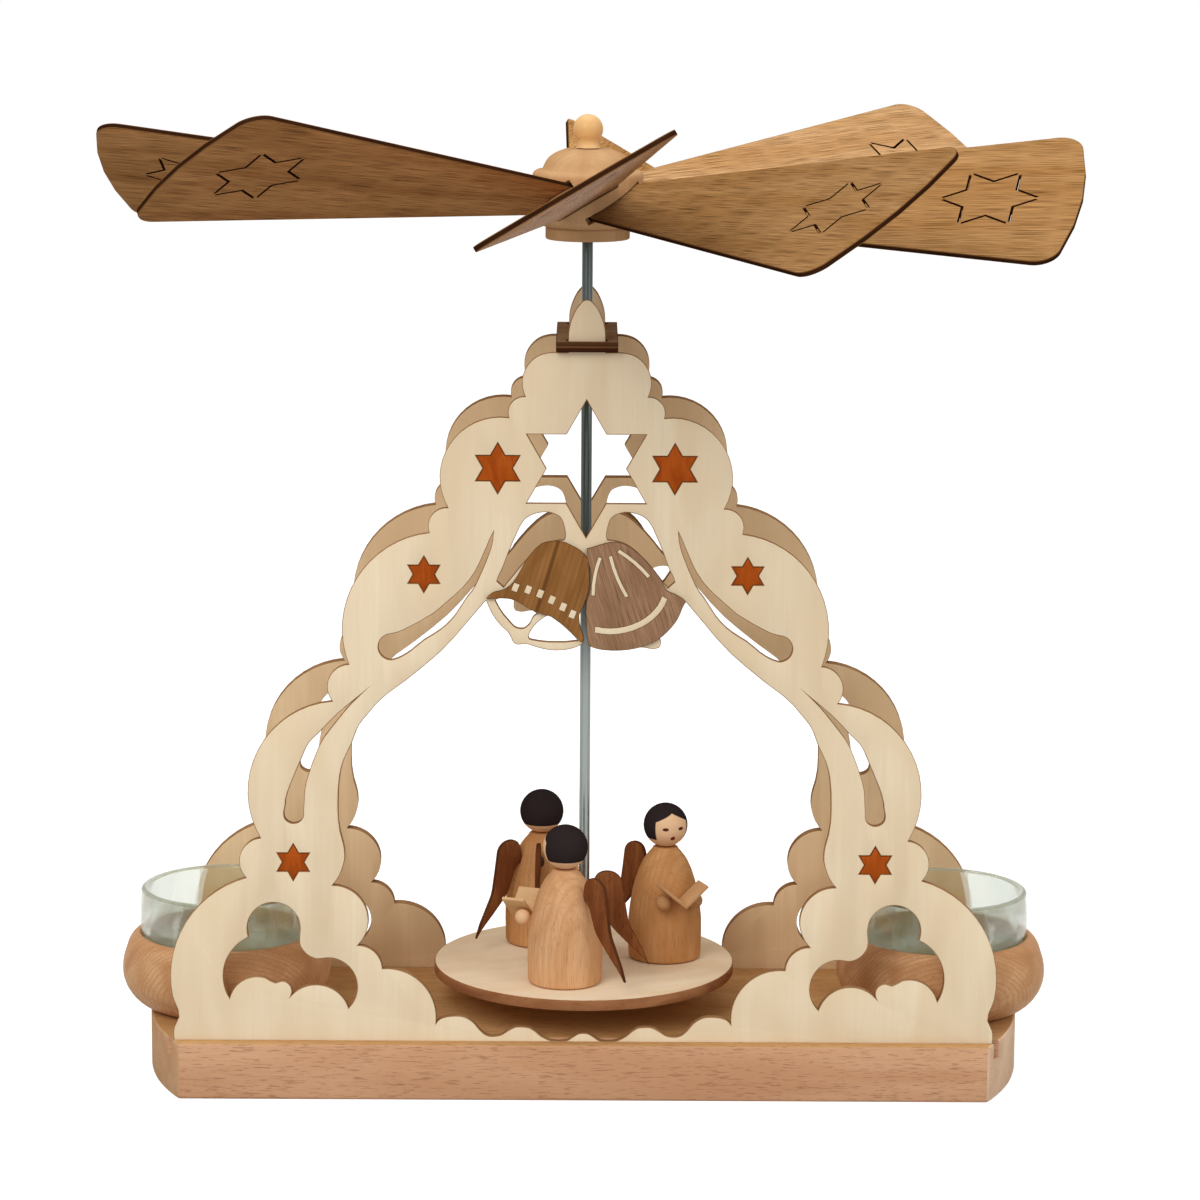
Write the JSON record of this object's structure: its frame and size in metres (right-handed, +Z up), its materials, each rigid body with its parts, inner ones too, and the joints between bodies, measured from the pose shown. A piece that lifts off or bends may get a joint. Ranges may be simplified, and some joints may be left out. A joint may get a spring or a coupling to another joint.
{
  "type": "candle carousel",
  "caption": "Wooden candle carousel: two sawn arches on a base, candle holders at the ends, and a winged rotor that turns a round table of carved figures.",
  "frame": {"origin": "middle of the base board's underside, on the spindle's axis", "axes": "+Z up along the spindle, +X to the right and -Y towards the viewer of the front arch"},
  "size_m": [0.2715, 0.274, 0.2758],
  "materials": {
    "beech": "waxed beech",
    "light_ply": "plain sanded plywood",
    "red_inlay": "waxed padauk inlay",
    "brown_veneer": "stained veneer",
    "grey_veneer": "stained veneer",
    "dark_plate": "stained plywood",
    "maple": "waxed maple",
    "blade_veneer": "oak-faced plywood with laser-cut edges",
    "figure_wood": "waxed turned wood",
    "skin_wood": "turned ball, painted hair and face",
    "wing_wood": "dark stained wood",
    "steel": "drawn rod",
    "brass": "turned",
    "glass": "clear pressed glass, slightly green"
  },
  "bodies": {
    "stand": {"base_board": "beech", "left_holder": "beech", "right_holder": "beech", "front_arch": "light_ply", "back_arch": "light_ply", "front_star_1": "red_inlay", "front_star_2": "red_inlay", "front_star_3": "red_inlay", "front_star_4": "red_inlay", "front_star_5": "red_inlay", "front_star_6": "red_inlay", "front_left_bell": "brown_veneer", "front_right_bell": "grey_veneer", "back_star_1": "red_inlay", "back_star_2": "red_inlay", "back_star_3": "red_inlay", "back_star_4": "red_inlay", "back_star_5": "red_inlay", "back_star_6": "red_inlay", "back_left_bell": "brown_veneer", "back_right_bell": "grey_veneer", "bearing_plate": "dark_plate", "bearing_cup": "brass"},
    "left_cup": {"left_glass": "glass"},
    "right_cup": {"right_glass": "glass"},
    "carousel": {"turntable_collar": "beech", "turntable": "light_ply", "spindle_rod": "steel", "rotor_hub": "maple", "rotor_knob": "maple", "blade_1": "blade_veneer", "blade_2": "blade_veneer", "blade_3": "blade_veneer", "blade_4": "blade_veneer", "blade_5": "blade_veneer", "blade_6": "blade_veneer", "blade_7": "blade_veneer", "blade_8": "blade_veneer", "angel_1_body": "figure_wood", "angel_1_head": "skin_wood", "angel_1_left_hand": "skin_wood", "angel_1_right_hand": "skin_wood", "angel_1_left_wing": "wing_wood", "angel_1_right_wing": "wing_wood", "angel_1_songbook": "light_ply", "angel_2_body": "figure_wood", "angel_2_head": "skin_wood", "angel_2_left_hand": "skin_wood", "angel_2_right_hand": "skin_wood", "angel_2_left_wing": "wing_wood", "angel_2_right_wing": "wing_wood", "angel_2_songbook": "light_ply", "angel_3_body": "figure_wood", "angel_3_head": "skin_wood", "angel_3_left_hand": "skin_wood", "angel_3_right_hand": "skin_wood", "angel_3_left_wing": "wing_wood", "angel_3_right_wing": "wing_wood", "angel_3_songbook": "light_ply"}
  },
  "joints": [
    {"name": "carousel_turn", "type": "hinge", "parent": "stand", "child": "carousel", "pos_m": [0, 0, 0], "axis": [0, 0, 1], "continuous": true},
    {"name": "left_cup_lift", "type": "slide", "parent": "stand", "child": "left_cup", "axis": [0, 0, 1], "range_m": [0, 0.03]},
    {"name": "right_cup_lift", "type": "slide", "parent": "stand", "child": "right_cup", "axis": [0, 0, 1], "range_m": [0, 0.03]}
  ]
}
